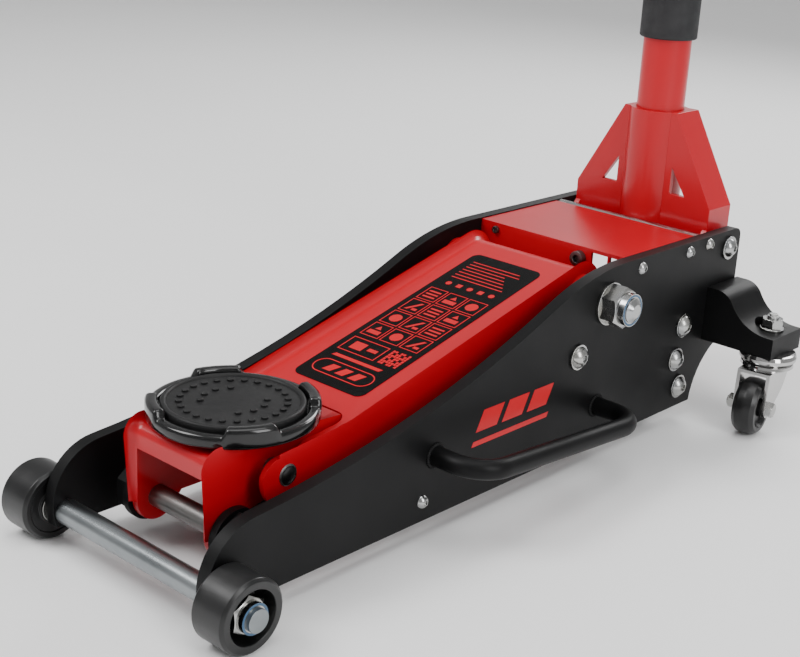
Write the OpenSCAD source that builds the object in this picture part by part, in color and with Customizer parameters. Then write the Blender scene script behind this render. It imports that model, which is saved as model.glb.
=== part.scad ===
// Hydraulic floor jack, low compact type, in its lowered position.
// X runs across the jack, Y along it (saddle end at -Y, handle end at +Y), Z is up.
// The origin lies on the floor, midway between the two ends and between the two sides.

/* [Side plates] */
// Distance between the inner faces of the two side plates
plate_gap = 150; // [140:1:158]
// Thickness of each side plate
plate_t = 10; // [8:0.5:11]
// Height of the lower edge of the plates above the floor
plate_bottom = 15; // [12:1:18]
// Height of the level top edge of the plates above the floor
plate_top = 164.5; // [163:0.5:168]
// Rear edge of the plates
plate_rear = 309; // [305:1:312]
// Radius of the rounded front nose of the plates
nose_r = 42; // [38:1:44]
// Radius of the convex crown behind the sloping top edge
crown_r = 225; // [180:5:260]
// Slope of the top edge where the crown begins
crown_slope = 23.4; // [20:0.2:25]

/* [Front wheels] */
// Distance of the front axle from the origin
axle_y = -288; // [-290:1:-286]
// Outer radius of the front wheels
wheel_r = 25.5; // [24:0.5:26]
// Width of a front wheel
wheel_w = 30; // [26:1:32]
// Diameter of the axle between the plates
axle_d = 18; // [17:0.5:19]

/* [Lift arm] */
// Main pivot of the lift arm, distance along the jack
pivot_y = 110; // [108:1:112]
// Main pivot of the lift arm, height above the floor
pivot_z = 135; // [134:0.5:136]
// Saddle pin in the front end of the arm, distance along the jack
saddle_pin_y = -206; // [-208:1:-204]
// Saddle pin in the front end of the arm, height above the floor
saddle_pin_z = 74; // [73:0.5:75]
// Offset from an arm pivot to the parallel link pivot, along the jack
link_dy = -35; // [-36:0.5:-34]
// Offset from an arm pivot to the parallel link pivot, in height
link_dz = -37; // [-38:0.5:-36]
// Outer width of the lift arm
arm_w = 114; // [110:1:118]
// Sheet thickness of the arm
arm_t = 5; // [4:0.5:6]
// Slope of the arm's top face
arm_slope = 14.3; // [13.5:0.1:15]

/* [Saddle] */
// Radius of the rubber pad
pad_r = 49.5; // [46:0.5:51]
// Height of the pad's top face above the floor
pad_top = 110; // [109.5:0.5:112]
// Outer radius of the cast saddle
saddle_r = 59.5; // [58:0.5:60]
// Outer width of the saddle bracket
bracket_w = 80; // [76:1:82]

/* [Handle] */
// Pivot of the handle socket, distance along the jack
socket_y = 290; // [289:0.5:291]
// Pivot of the handle socket, height above the floor
socket_z = 149; // [148:0.5:150]
// Height of the top of the socket
socket_top = 258.5; // [254:0.5:262]
// Outer diameter of the handle tube
handle_d = 42; // [40:0.5:42.5]
// Height of the top end of the handle
handle_top = 1000; // [900:10:1100]
// Lower end of the padded sleeve on the handle
sleeve_z = 320; // [310:1:330]

/* [Rear casters] */
// Outer end of the outrigger blocks from the middle plane
outrigger_end = 153.5; // [150:0.5:156]
// Height of the underside of the outrigger blocks
outrigger_z = 70; // [69:0.5:71]
// Distance of the caster stems from the middle plane
caster_x = 138; // [137:0.5:139]
// Distance of the caster stems along the jack
caster_y = 288; // [287:1:289]
// Radius of the caster wheels
caster_r = 25; // [24:0.5:26]
// Trail of the caster wheels behind their stems
caster_trail = 25; // [24:1:27]
// Rest angle of the swivelled casters
caster_yaw = 9; // [0:1:12]

/* [Hidden] */
$fn = 48;
eps = 0.01;            // overlap that lets cuts pass a face
slide_gap = 0.05;      // radial clearance of a running fit
free_gap = 0.4;        // clearance between faces that only pass each other

steel = [0.66, 0.67, 0.69];
dark_steel = [0.25, 0.25, 0.26];
red_paint = [0.86, 0.03, 0.05];
black_paint = [0.045, 0.045, 0.05];
rubber_black = [0.03, 0.03, 0.03];
cast_grey = [0.32, 0.33, 0.34];

inner = plate_gap/2;               // inner face of a side plate
outer = inner + plate_t;           // outer face of a side plate

// Shape of the side plate's edge
nose_slope = 4;
nose_z = 30;
crown_y = 134;
crown_end = [crown_y - crown_r*sin(crown_slope), plate_top - crown_r*(1 - cos(crown_slope))];
sweep_r = (crown_end[1] - nose_z - nose_r*cos(nose_slope)) / (cos(nose_slope) - cos(crown_slope));
sweep_c = [crown_end[0] - sweep_r*sin(crown_slope), crown_end[1] + sweep_r*cos(crown_slope)];
nose_y = sweep_c[0] + (sweep_r + nose_r)*sin(nose_slope);
rear_corner_r = 8;
cutout_c = [315, 7];               // centre of the caster clearance curve
cutout_r = 62;

// Pivots as [y, z] pairs
main_pivot = [pivot_y, pivot_z];
saddle_pin = [saddle_pin_y, saddle_pin_z];
link_rear = main_pivot + [link_dy, link_dz];
link_front = saddle_pin + [link_dy, link_dz];
ram_lever = 80;                    // lever arm of the ram pin below the main pivot
lift_range = 50;                   // lift travel of the arm in degrees
ram_pin_c = main_pivot + ram_lever*[sin(lift_range/2), -cos(lift_range/2)];
socket_pivot = [socket_y, socket_z];

// Diameters of shafts and pins
shaft_d = 26;
shaft_end_d = 20;
hub_tube_d = 34;
saddle_pin_d = 14;
link_rod_d = 16;
ram_pin_d = 14;
bolt_d = 10;
small_bolt_d = 6;

// Places of the fasteners as [y, z] pairs
front_spacer = [-101, 30.5];
rear_spacer = [257, 157.5];
cover_bolts = [[154, 155.5], [226, 156]];
block_bolts = [[228, 90.5], [221.5, 61], [231, 34]];

// Arm outline
arm_face_z = 98;                   // height of the arm's top face at arm_face_y
arm_face_y = -117.4;
arm_rail_z = 88;                   // height of the level rails beside the saddle
notch_y = -137;                    // front edge of the arm's top plate
hub_r = (arm_face_z + (pivot_y - arm_face_y)*tan(arm_slope) - pivot_z)*cos(arm_slope);

// Hydraulic unit
block_y = [208, 262];
block_z = [22, 103];
pump_boss_y = [206, 250];
cyl_z = ram_pin_c[1] - 2.5;
cyl_bore = 38;
pump_x = 42;
pump_lever = 25;                   // lever of the pushing pin below the socket pivot
pump_ear_gap = 20;                 // space between the ears of the pushing pin
pump_rest = 22;                    // rest angle of the pushing pin behind the vertical
push_pin = socket_pivot + pump_lever*[sin(pump_rest), -cos(pump_rest)];
push_pin_d = 12;
pump_z = push_pin[1];

// Handle socket
sock_half = 70.5;
sock_top_half = 27;
sock_kink_z = 181.5;
sock_front = -15;                  // front plate's outer face from the pivot
sock_rear = 20.5;                  // rear edge of the side flanges from the pivot
sock_t = 5;
sock_tube_d = 52;
handle_foot = socket_z + 26;
tube_low = socket_z + 9;           // lower end of the tube that holds the handle

// ---- helpers ----

// Points of an arc in a plane, from angle a0 to a1 in n steps
function arc(c, r, a0, a1, n) =
    [for (i = [0:n]) let (a = a0 + (a1 - a0)*i/n) c + r*[cos(a), sin(a)]];

// Height of the arm's sloping top face at a place along the jack
function arm_top(y) = arm_face_z + (y - arm_face_y)*tan(arm_slope);

// Extrudes a [y, z] outline across the jack, from x0 over a width w
module across(x0, w) {
    translate([x0, 0, 0]) rotate([90, 0, 90]) linear_extrude(w) children();
}

// Cylinder along X, centred on a [y, z] place, from x0 to x1
module rod(c, d, x0, x1) {
    translate([x0, c[0], c[1]]) rotate([0, 90, 0]) cylinder(d = d, h = x1 - x0);
}

// Cylinder along Y, from y0 to y1
module rod_y(x, z, d, y0, y1) {
    translate([x, y0, z]) rotate([-90, 0, 0]) cylinder(d = d, h = y1 - y0);
}

// Puts a right-hand piece on both sides
module both_sides() {
    children();
    mirror([1, 0, 0]) children();
}

// Hexagon bar along X with chamfered outer corners
module hex_x(c, flats, x0, x1) {
    across_corners = flats/cos(30);
    translate([x0, c[0], c[1]]) rotate([0, 90, 0]) intersection() {
        cylinder(d = across_corners, h = x1 - x0, $fn = 6);
        union() {
            cylinder(d = across_corners, h = x1 - x0 - 1.5);
            translate([0, 0, x1 - x0 - 1.5 - eps])
                cylinder(d1 = across_corners, d2 = flats - 1, h = 1.5 + eps);
        }
    }
}

// Self-locking nut along X: hexagon with a round collar, bored for its thread
module lock_nut(c, flats, height, thread_d, x0) {
    collar_h = height*0.3;
    difference() {
        union() {
            hex_x(c, flats, x0, x0 + height - collar_h);
            rod(c, flats*0.88, x0 + height - collar_h - 1, x0 + height);
        }
        rod(c, thread_d + 2*slide_gap, x0 - 1, x0 + height + 1);
    }
}

// Round washer along X
module washer(c, d, hole_d, x0, t) {
    difference() {
        rod(c, d, x0, x0 + t);
        rod(c, hole_d, x0 - 1, x0 + t + 1);
    }
}

// Domed button-head bolt along X: head outside x0, shank of length len inside it
module button_bolt(c, head_d, head_h, shank_d, x0, len) {
    dome_r = (pow(head_d/2, 2) + pow(head_h, 2))/(2*head_h);
    socket_d = head_d*0.34;
    difference() {
        union() {
            intersection() {
                rod(c, head_d + 2, x0, x0 + head_h + 1);
                translate([x0 + head_h - dome_r, c[0], c[1]]) rotate([0, 90, 0]) sphere(r = dome_r);
            }
            rod(c, shank_d, x0 - len, x0 + eps);
        }
        translate([x0 + head_h*0.45, c[0], c[1]]) rotate([0, 90, 0])
            cylinder(d = socket_d, h = head_h, $fn = 6);
    }
}

// ---- frame ----

module plate_outline() {
    bottom_front = nose_y - sqrt(pow(nose_r, 2) - pow(nose_z - plate_bottom, 2));
    nose_start = atan2(nose_z - plate_bottom, nose_y - bottom_front);
    cut_low = asin((plate_bottom - cutout_c[1])/cutout_r);
    cut_high = acos((cutout_c[0] - plate_rear)/cutout_r);
    polygon(concat(
        arc(cutout_c, cutout_r, 180 - cut_low, 180 - cut_high, 12),
        arc([plate_rear - rear_corner_r, plate_top - rear_corner_r], rear_corner_r, 0, 90, 6),
        arc([crown_y, plate_top - crown_r], crown_r, 90, 90 + crown_slope, 10),
        arc(sweep_c, sweep_r, -90 + crown_slope, -90 + nose_slope, 14),
        arc([nose_y, nose_z], nose_r, 90 + nose_slope, 180 + nose_start, 16)));
}

module side_plate() {
    color(black_paint) difference() {
        across(inner, plate_t) plate_outline();
        rod([axle_y, wheel_r], 16 + 2*slide_gap, inner - 1, outer + 1);
        rod(main_pivot, shaft_end_d + 2*slide_gap, inner - 1, outer + 1);
        for (c = concat(block_bolts, [link_rear, socket_pivot]))
            rod(c, bolt_d + 2*slide_gap, inner - 1, outer + 1);
        for (c = concat(cover_bolts, [front_spacer, rear_spacer]))
            rod(c, small_bolt_d + 2*slide_gap, inner - 1, outer + 1);
        for (dy = [-16, 16])
            rod([caster_y + dy, 94], 8 + 2*slide_gap, inner - 1, outer + 1);
    }
}

module side_plate_right() { side_plate(); }
module side_plate_left() { mirror([1, 0, 0]) side_plate(); }

// Bent tube handle welded to the outside of a plate
carry_d = 15;
carry_front = [-90, 63];
carry_rear = [107, 48.5];
carry_reach = 128;
carry_bend = 26;

module carry_handle() {
    span = norm(carry_rear - carry_front);
    tilt = atan2(carry_rear[1] - carry_front[1], carry_rear[0] - carry_front[0]);
    leg = carry_reach - carry_bend - outer;
    color(black_paint) translate([outer, carry_front[0], carry_front[1]]) rotate([tilt, 0, 0]) {
        for (y = [0, span])
            translate([0, y, 0]) rotate([0, 90, 0]) cylinder(d = carry_d, h = leg + eps);
        translate([leg + carry_bend, carry_bend - eps, 0]) rotate([-90, 0, 0])
            cylinder(d = carry_d, h = span - 2*carry_bend + 2*eps);
        translate([leg, carry_bend, 0]) rotate([0, 0, -90])
            rotate_extrude(angle = 90) translate([carry_bend, 0]) circle(d = carry_d);
        translate([leg, span - carry_bend, 0])
            rotate_extrude(angle = 90) translate([carry_bend, 0]) circle(d = carry_d);
    }
}

module carry_handle_right() { carry_handle(); }
module carry_handle_left() { mirror([1, 0, 0]) carry_handle(); }

wheel_in = outer + 1.5;            // inner face of a front wheel
axle_end = wheel_in + wheel_w + 5;
axle_nut_h = 15.5;

module front_axle() {
    color(steel) {
        rod([axle_y, wheel_r], axle_d, -inner, inner);
        both_sides() rod([axle_y, wheel_r], 16, inner - eps, axle_end);
    }
}

module front_axle_nuts() {
    color(steel) both_sides()
        lock_nut([axle_y, wheel_r], 24, axle_nut_h, 16, axle_end - 3.5 - axle_nut_h);
}

module front_wheel() {
    half = wheel_w;
    color(rubber_black) translate([wheel_in, axle_y, wheel_r]) rotate([0, 90, 0])
        rotate_extrude($fn = 96) polygon([
            [8 + slide_gap, 0], [13, 0], [13, 1.5], [20, 1.5], [20, 0.4], [wheel_r - 2, 0.4],
            [wheel_r, 2.4], [wheel_r, half - 2], [wheel_r - 2, half], [18.5, half],
            [15.5, half - 15.5], [8 + slide_gap, half - 15.5]]);
}

module front_wheel_right() { front_wheel(); }
module front_wheel_left() { mirror([1, 0, 0]) front_wheel(); }

module spacer_rods() {
    color(steel) {
        difference() {
            rod(front_spacer, 12, -inner, inner);
            both_sides() rod(front_spacer, small_bolt_d, inner - 15, inner + 1);
        }
        difference() {
            rod(rear_spacer, 12.8, -inner, inner);
            both_sides() rod(rear_spacer, small_bolt_d, inner - 15, inner + 1);
        }
    }
}

module frame_bolts_small() {
    color(steel) both_sides() {
        for (c = cover_bolts) button_bolt(c, 11, 4, small_bolt_d, outer, plate_t + 6);
        for (c = [front_spacer, rear_spacer])
            button_bolt(c, 11, 4, small_bolt_d, outer, plate_t + 14);
    }
}

large_seat = outer + 2;            // outer face of the washers of the large bolts

module frame_bolts_large() {
    color(steel) both_sides() {
        for (c = block_bolts)
            button_bolt(c, 18, 5.8, bolt_d, large_seat, plate_t + 20);
        button_bolt(link_rear, 18, 5.8, bolt_d, large_seat, large_seat - link_in);
        button_bolt(socket_pivot, 16.5, 5.5, bolt_d, large_seat, large_seat - sock_half + sock_t + 2);
    }
}

module plate_washers() {
    color(steel) both_sides() {
        for (c = concat(block_bolts, [link_rear, socket_pivot]))
            washer(c, 21, bolt_d + 2*slide_gap, outer, 2);
        washer(main_pivot, 35, shaft_end_d + 2*slide_gap, outer, 3);
        washer([axle_y, wheel_r], 24, 16 + 2*slide_gap, outer, 1.1);
    }
}

module main_shaft() {
    color(steel) {
        rod(main_pivot, shaft_d, -inner, inner);
        both_sides() {
            rod(main_pivot, shaft_end_d, inner - eps, outer + 24);
            translate([outer + 24 - eps, pivot_y, pivot_z]) rotate([0, 90, 0])
                cylinder(d1 = shaft_end_d - 1, d2 = shaft_end_d - 9, h = 3);
        }
    }
}

module main_shaft_nuts() {
    color(steel) both_sides() lock_nut(main_pivot, 30, 20, shaft_end_d, outer + 3);
}

link_in = 42;                      // inner face of a tie rod
link_t = 6;

module pivot_spacers() {
    color(steel) both_sides() {
        difference() {
            rod(link_rear, 16, link_in + link_t + free_gap, inner);
            rod(link_rear, bolt_d + 2*slide_gap, link_in, inner + 1);
        }
        difference() {
            rod(socket_pivot, 20, sock_half + free_gap, inner);
            rod(socket_pivot, bolt_d + 2*slide_gap, sock_half, inner + 1);
        }
    }
}

// Folded sheet cover over the rear of the frame
cover_front = 143;
cover_rear = 250;
cover_top = 163.5;
cover_t = 3;
cover_skirt = 20;
cover_windows = [[42, 16], [60, 8]];   // openings in the front face: [x, width]

module rear_cover() {
    w = inner - 0.2;
    color(red_paint) difference() {
        union() {
            translate([-w, cover_front, cover_top - cover_t])
                cube([2*w, cover_rear - cover_front, cover_t]);
            translate([-w, cover_front, 128]) cube([2*w, cover_t, cover_top - 128]);
            both_sides() translate([w - cover_t, cover_front, cover_top - cover_skirt])
                cube([cover_t, cover_rear - cover_front, cover_skirt]);
        }
        for (w = cover_windows) translate([w[0], cover_front - 1, 136]) cube([w[1], cover_t + 2, 24.5]);
        both_sides() for (c = cover_bolts)
            rod(c, small_bolt_d + 2*slide_gap, w - cover_t - 1, w + 1);
        for (s = cover_screw_places)
            translate([s[0], cover_front - 1, s[1]]) rotate([-90, 0, 0])
                cylinder(d = s[2] + 2*slide_gap, h = cover_t + 2);
    }
}

// Screws in the cover's front face: [x, z, shank diameter, head diameter, head length]
cover_screw_places = [[-58, 157.5, 4, 6.5, 2.5], [31, 153.5, 8, 12.5, 6]];

module cover_screws() {
    color(dark_steel) for (s = cover_screw_places) translate([s[0], cover_front, s[1]])
        rotate([-90, 0, 0]) difference() {
            union() {
                translate([0, 0, -s[4]]) cylinder(d = s[3], h = s[4]);
                translate([0, 0, -eps]) cylinder(d = s[2], h = cover_t + 4);
            }
            translate([0, 0, -s[4] - eps]) cylinder(d = s[2]*0.9, h = s[4]*0.7, $fn = 6);
        }
}

// ---- rear outriggers and casters ----

block_len = 50;
out_top = 118;
out_step = 88;
shoulder_r = 18;
shoulder_x = 95;
shoulder_turn = 60;

module outrigger_outline() {
    bend = [shoulder_x, out_top - shoulder_r] + shoulder_r*[cos(90 - shoulder_turn), sin(90 - shoulder_turn)];
    hollow_r = (bend[1] - out_step)/(1 - cos(shoulder_turn));
    hollow_c = bend + hollow_r*[sin(shoulder_turn), cos(shoulder_turn)];
    polygon(concat(
        [[outer, outrigger_z], [outrigger_end, outrigger_z], [outrigger_end, out_step]],
        arc(hollow_c, hollow_r, -90, -90 - shoulder_turn, 12),
        arc([shoulder_x, out_top - shoulder_r], shoulder_r, 90 - shoulder_turn, 90, 8),
        [[outer, out_top]]));
}

module outrigger() {
    color(black_paint) difference() {
        translate([0, caster_y + block_len/2, 0]) rotate([90, 0, 0])
            linear_extrude(block_len) outrigger_outline();
        translate([caster_x, caster_y, out_step]) cylinder(d = 30, h = 40);
        translate([caster_x, caster_y, outrigger_z - 1]) cylinder(d = 10 + 2*slide_gap, h = 40);
        for (dy = [-16, 16]) rod([caster_y + dy, 94], 8, outer - 1, outer + 14);
    }
}

module outrigger_right() { outrigger(); }
module outrigger_left() { mirror([1, 0, 0]) outrigger(); }

module outrigger_bolts() {
    color(dark_steel) both_sides() for (dy = [-16, 16]) difference() {
        union() {
            rod([caster_y + dy, 94], 13, inner - 4, inner);
            rod([caster_y + dy, 94], 8, inner - eps, outer + 12);
        }
        translate([inner - 5, caster_y + dy, 94]) rotate([0, 90, 0]) cylinder(d = 6, h = 3, $fn = 6);
    }
}

module caster_studs() {
    color(steel) both_sides() translate([caster_x, caster_y, 0]) {
        translate([0, 0, 54]) cylinder(d = 10, h = out_step + 13 - 54);
        translate([0, 0, out_step + 13 - eps]) cylinder(d = 7, h = 1.5);
        translate([0, 0, 53]) cylinder(d = 20, h = 2.4);
    }
}

module caster_stud_nuts() {
    color(steel) both_sides() translate([caster_x, caster_y, out_step]) difference() {
        union() {
            cylinder(d = 21, h = 2);
            translate([0, 0, 2 - eps]) intersection() {
                cylinder(d = 17/cos(30), h = 8.5, $fn = 6);
                cylinder(d1 = 24, d2 = 17.5, h = 9);
            }
        }
        translate([0, 0, -1]) cylinder(d = 10 + 2*slide_gap, h = 20);
    }
}

cup_z = 61;                        // underside of the fixed bearing cup
fork_top = 60.4;

module caster_bearing_cups() {
    color(steel) both_sides() translate([caster_x, caster_y, 0]) rotate_extrude($fn = 96) polygon([
        [5 + slide_gap, cup_z + 4], [15, cup_z + 4], [17, cup_z], [22, cup_z], [24.5, cup_z + 2],
        [25, cup_z + 5], [23.5, cup_z + 8], [20, outrigger_z], [5 + slide_gap, outrigger_z]]);
}

fork_gap = 23;
fork_t = 3;

// Fork of a caster in its own frame: stem at the origin, wheel trailing to -Y
module caster_fork_shape() {
    crown = fork_top - 3;
    half = fork_gap/2 + fork_t;
    axle = [-caster_trail, caster_r];
    difference() {
        union() {
            rotate_extrude($fn = 72) polygon([
                [12, fork_top - 5], [21, fork_top - 5], [23, fork_top - 3.5], [22.5, fork_top - 1],
                [21, fork_top], [5.6, fork_top], [5.6, crown - 1], [12, crown - 1]]);
            translate([-half, -31, crown - 2.6]) cube([2*half, 49, 2.6]);
            for (x = [-half, fork_gap/2]) across(x, fork_t) polygon(concat(
                [[18, crown], [-30, crown], [-31, crown - 1]],
                arc(axle, 8, 180, 330, 8),
                arc([-16, 62], 34.5, -60, -12, 6)));
        }
        translate([0, 0, 40]) cylinder(r = 11.2, h = crown - 41);
        translate([0, 0, 40]) cylinder(r = 5.6, h = 30);
        rod(axle, 8 + 2*slide_gap, -30, 30);
    }
}

module caster_place() {
    translate([caster_x, caster_y, 0]) rotate([0, 0, caster_yaw]) children();
}

module caster_fork_right() { color(steel) caster_place() caster_fork_shape(); }
module caster_fork_left() {
    color(steel) translate([-2*caster_x, 0, 0]) caster_place() caster_fork_shape();
}

module caster_wheel_shape() {
    half = 10;
    translate([0, -caster_trail, caster_r]) rotate([0, 90, 0]) rotate_extrude($fn = 96) polygon([
        [4 + slide_gap, -11], [8, -11], [8, -7], [16, -6], [18, -half], [caster_r - 3.5, -half],
        [caster_r - 0.8, -half + 3.5], [caster_r, 0], [caster_r - 0.8, half - 3.5],
        [caster_r - 3.5, half], [18, half], [16, 6], [8, 7], [8, 11], [4 + slide_gap, 11]]);
}

module caster_wheel_right() { color(rubber_black) caster_place() caster_wheel_shape(); }
module caster_wheel_left() {
    color(rubber_black) translate([-2*caster_x, 0, 0]) caster_place() caster_wheel_shape();
}

module caster_axle_shape() {
    leg = fork_gap/2 + fork_t;
    c = [-caster_trail, caster_r];
    rod(c, 8, -leg - 7, leg + eps);
    hex_x(c, 12, leg, leg + 5.5);
    mirror([1, 0, 0]) difference() {
        hex_x(c, 12, leg, leg + 6);
        rod(c, 8, leg - 1, leg + 8);
    }
}

module caster_axle_right() { color(steel) caster_place() caster_axle_shape(); }
module caster_axle_left() {
    color(steel) translate([-2*caster_x, 0, 0]) caster_place() caster_axle_shape();
}

// ---- hydraulic unit ----

tube_front = 171;                  // front end of the reservoir
res_d = 70;

module valve_block() {
    boss = 26;
    color(cast_grey) difference() {
        union() {
            translate([-48, block_y[0], block_z[0]])
                cube([96, block_y[1] - block_y[0], block_z[1] - block_z[0]]);
            both_sides() for (c = block_bolts) rod(c, boss, 40, inner);
            translate([pump_x - 13, pump_boss_y[0], block_z[1] - eps])
                cube([26, pump_boss_y[1] - pump_boss_y[0], pump_z + 13 - block_z[1]]);
        }
        rod_y(0, cyl_z, cyl_bore + 8 + 0.4, block_y[0] - 1, block_y[1] - 5);
        rod_y(pump_x, pump_z, 12 + 2*slide_gap, pump_boss_y[0] + 3, pump_boss_y[1] + 10);
        rod_y(pump_x, pump_z, 18, pump_boss_y[1] - 8, pump_boss_y[1] + 10);
        both_sides() for (c = block_bolts) rod(c, bolt_d + 2*slide_gap, inner - 22, inner + 1);
        valve_bore();
    }
}

// Inclined seat of the release valve in the top of the block
release_foot = [238, 88];
release_tilt = atan2(socket_y - release_foot[0], socket_z - release_foot[1]);
release_len = norm(socket_pivot - release_foot);

module along_release() {
    translate([0, release_foot[0], release_foot[1]]) rotate([-release_tilt, 0, 0]) children();
}

module valve_bore() {
    along_release() translate([0, 0, -10]) cylinder(d = 12 + 2*slide_gap, h = 60);
}

module reservoir_tube() {
    color(black_paint) difference() {
        rod_y(0, cyl_z, res_d, tube_front, block_y[0]);
        rod_y(0, cyl_z, res_d - 6, tube_front - 1, block_y[0] + 1);
    }
}

module cylinder_tube() {
    color(steel) difference() {
        rod_y(0, cyl_z, cyl_bore + 8, tube_front + 4, block_y[1] - 5);
        rod_y(0, cyl_z, cyl_bore, tube_front, piston_y[1] + 2);
    }
}

module gland_nut() {
    color(dark_steel) difference() {
        union() {
            rod_y(0, cyl_z, res_d, tube_front - 7, tube_front);
            rod_y(0, cyl_z, res_d - 6.4, tube_front - eps, tube_front + 4);
        }
        rod_y(0, cyl_z, 26 + 2*slide_gap, tube_front - 10, tube_front + 10);
        for (a = [0:90:270]) translate([0, 0, cyl_z]) rotate([0, a + 45, 0])
            translate([res_d/2 - 4, tube_front - 8, -4]) cube([6, 5, 8]);
    }
}

head_y = ram_pin_c[0];
head_half = 11;
piston_y = [244, 254];             // piston at rest, before its stroke toward the saddle

module ram() {
    slot_w = ram_pin_d + 1.6;
    dip = ram_lever*(1 - cos(lift_range/2));
    slot_top = ram_pin_c[1] + ram_pin_d/2 + 0.8;
    slot_low = ram_pin_c[1] - dip - ram_pin_d/2 - 0.8;
    color(steel) difference() {
        union() {
            rod_y(0, cyl_z, 26, head_y + head_half, piston_y[0] + 1);
            rod_y(0, cyl_z, cyl_bore - 0.2, piston_y[0], piston_y[1]);
            translate([-16, head_y - head_half - 4, slot_low - 5])
                cube([32, 2*head_half + 6, slot_top - slot_low + 10]);
        }
        translate([-20, head_y - slot_w/2, slot_low]) cube([40, slot_w, slot_top - slot_low]);
    }
}

module ram_pin() {
    color(dark_steel) rod(ram_pin_c, ram_pin_d, -51, 51);
}

spring_x = 43;
spring_front = head_y + ram_pin_d/2 + free_gap;

module return_springs() {
    color(steel) both_sides() difference() {
        rod_y(spring_x, cyl_z, 11, spring_front, block_y[0]);
        rod_y(spring_x, cyl_z, 7, head_y, block_y[0] + 1);
    }
}

barrel_end = 261;

module pump_barrel() {
    color(steel) difference() {
        union() {
            rod_y(pump_x, pump_z, 18, pump_boss_y[1] - 8, barrel_end - 6);
            rod_y(pump_x, pump_z, 24, pump_boss_y[1], barrel_end);
        }
        rod_y(pump_x, pump_z, 12 + 2*slide_gap, pump_boss_y[1] - 10, barrel_end + 1);
    }
}

plunger_face = push_pin[0] - push_pin_d/2 - 0.7;
plunger_head_d = pump_ear_gap - 1.2;
plunger_head_t = 5;

module pump_plunger() {
    color(steel) {
        rod_y(pump_x, pump_z, 12, 241, plunger_face - 1);
        rod_y(pump_x, pump_z, plunger_head_d, plunger_face - plunger_head_t, plunger_face);
    }
}

module pump_spring() {
    color(steel) difference() {
        rod_y(pump_x, pump_z, 18, barrel_end, plunger_face - plunger_head_t - 2*eps);
        rod_y(pump_x, pump_z, 13.6, barrel_end - 1, plunger_face);
    }
}

module release_shaft() {
    color(dark_steel) along_release() {
        cylinder(d = 12, h = 22);
        cylinder(d = 9, h = release_len - 12);
        cylinder(d = 6, h = release_len - 3);
        translate([-2, 0, release_len]) rotate([0, 90, 0]) cylinder(d = 10, h = 4);
    }
}

// ---- lift arm, links and saddle ----

arm_half = arm_w/2;
rail_w = 14;                       // width of the folded rails beside the saddle bracket
front_r = 22;                    // rounded front end of the arm around the saddle pin
flat_end_y = arm_face_y - (arm_face_z - arm_rail_z)/tan(arm_slope);

// Lower edge of the arm wall, from the hub to the front end
module arm_wall_outline() {
    rail_a = asin((arm_rail_z - saddle_pin_z)/front_r);
    polygon(concat(
        arc(main_pivot, hub_r, -100, 90 + arm_slope, 20),
        [[flat_end_y + 3, arm_top(flat_end_y + 3)], [flat_end_y - 3, arm_rail_z]],
        arc(saddle_pin, front_r, 180 - rail_a, 280, 12),
        [[link_rear[0] - 15, link_rear[1] + 13]]));
}

// Top sheet: follows the sloping face and wraps down over the hub
module arm_top_outline() {
    wrap = 30;
    polygon(concat(
        arc(main_pivot, hub_r, 90 - wrap, 90 + arm_slope, 10),
        [[notch_y, arm_top(notch_y)], [notch_y, arm_top(notch_y) - arm_t]],
        arc(main_pivot, hub_r - arm_t, 90 + arm_slope, 90 - wrap, 10)));
}

module arm_rail_outline() {
    polygon([[notch_y + 2, arm_top(notch_y)], [flat_end_y + 3, arm_top(flat_end_y + 3)],
        [flat_end_y - 3, arm_rail_z], [saddle_pin_y - 17, arm_rail_z],
        [saddle_pin_y - 19, arm_rail_z - arm_t], [flat_end_y, arm_rail_z - arm_t],
        [notch_y + 2, arm_top(notch_y) - arm_t]]);
}

module arm_lug_outline() {
    polygon(concat(
        arc(main_pivot, hub_r - 1, 200, -10, 16),
        arc(ram_pin_c, 13, 0, -180, 12)));
}

module lift_arm() {
    color(red_paint) difference() {
        union() {
            both_sides() across(arm_half - arm_t, arm_t) arm_wall_outline();
            across(-arm_half, arm_w) arm_top_outline();
            both_sides() across(arm_half - rail_w, rail_w) arm_rail_outline();
            both_sides() across(20, 8) arm_lug_outline();
        }
        rod(main_pivot, hub_tube_d, -arm_half - 1, arm_half + 1);
        both_sides() rod(saddle_pin, saddle_pin_d, arm_half - arm_t - 6, arm_half + 1);
        rod(ram_pin_c, ram_pin_d, -30, 30);
    }
}

module arm_pivot_tube() {
    reach = inner - 0.5;
    color(red_paint) difference() {
        rod(main_pivot, hub_tube_d, -reach, reach);
        rod(main_pivot, shaft_d + 2*slide_gap, -reach - 1, reach + 1);
    }
}

module arm_front_pin() {
    color(dark_steel) {
        rod(saddle_pin, saddle_pin_d, -arm_half - 1, arm_half + 1);
        both_sides() button_head(saddle_pin, 16, 2.2, arm_half);
    }
}

// Plain domed pin head along X
module button_head(c, d, h, x0) {
    dome_r = (pow(d/2, 2) + pow(h, 2))/(2*h);
    intersection() {
        rod(c, d + 2, x0, x0 + h + 1);
        translate([x0 + h - dome_r, c[0], c[1]]) rotate([0, 90, 0]) sphere(r = dome_r);
    }
}

label_w = 70;
label_len = 213;
label_t = 0.4;

module arm_label() {
    r = 7;
    color("black") translate([0, arm_face_y, arm_top(arm_face_y)]) rotate([arm_slope, 0, 0])
        linear_extrude(label_t) hull() for (x = [-1, 1], y = [r, label_len - r])
            translate([x*(label_w/2 - r), y]) circle(r = r);
}

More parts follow.
